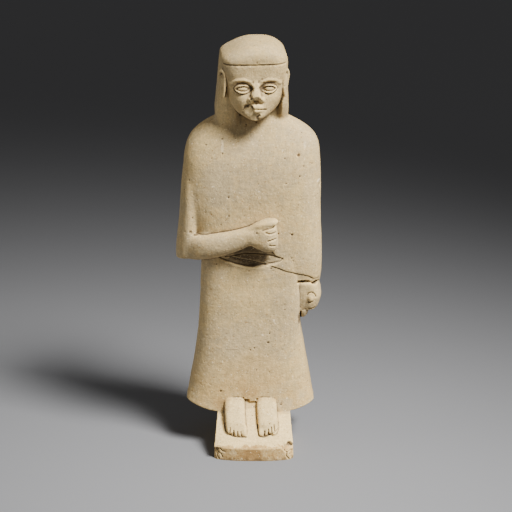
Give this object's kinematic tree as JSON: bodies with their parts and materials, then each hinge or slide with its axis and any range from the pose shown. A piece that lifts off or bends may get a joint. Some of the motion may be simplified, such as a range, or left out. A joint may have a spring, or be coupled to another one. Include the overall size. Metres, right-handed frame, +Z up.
{
  "type": "limestone votive statuette",
  "caption": "Standing draped worshipper carved in soft limestone with its sloping plinth, one bent arm with a closed fist across the waist.",
  "frame": {"origin": "on the flat underside of the plinth, below the figure's middle", "axes": "+Z up the figure, from the plinth to the crown of the cap; -Y the way the figure looks; +X to the right of someone who faces it"},
  "size_m": [0.1108, 0.0804, 0.318],
  "materials": {
    "limestone": "carved soft limestone, matt, with fine tool marks and an uneven tan patina"
  },
  "bodies": {
    "root": {"votive_statuette": "limestone"}
  },
  "joints": []
}
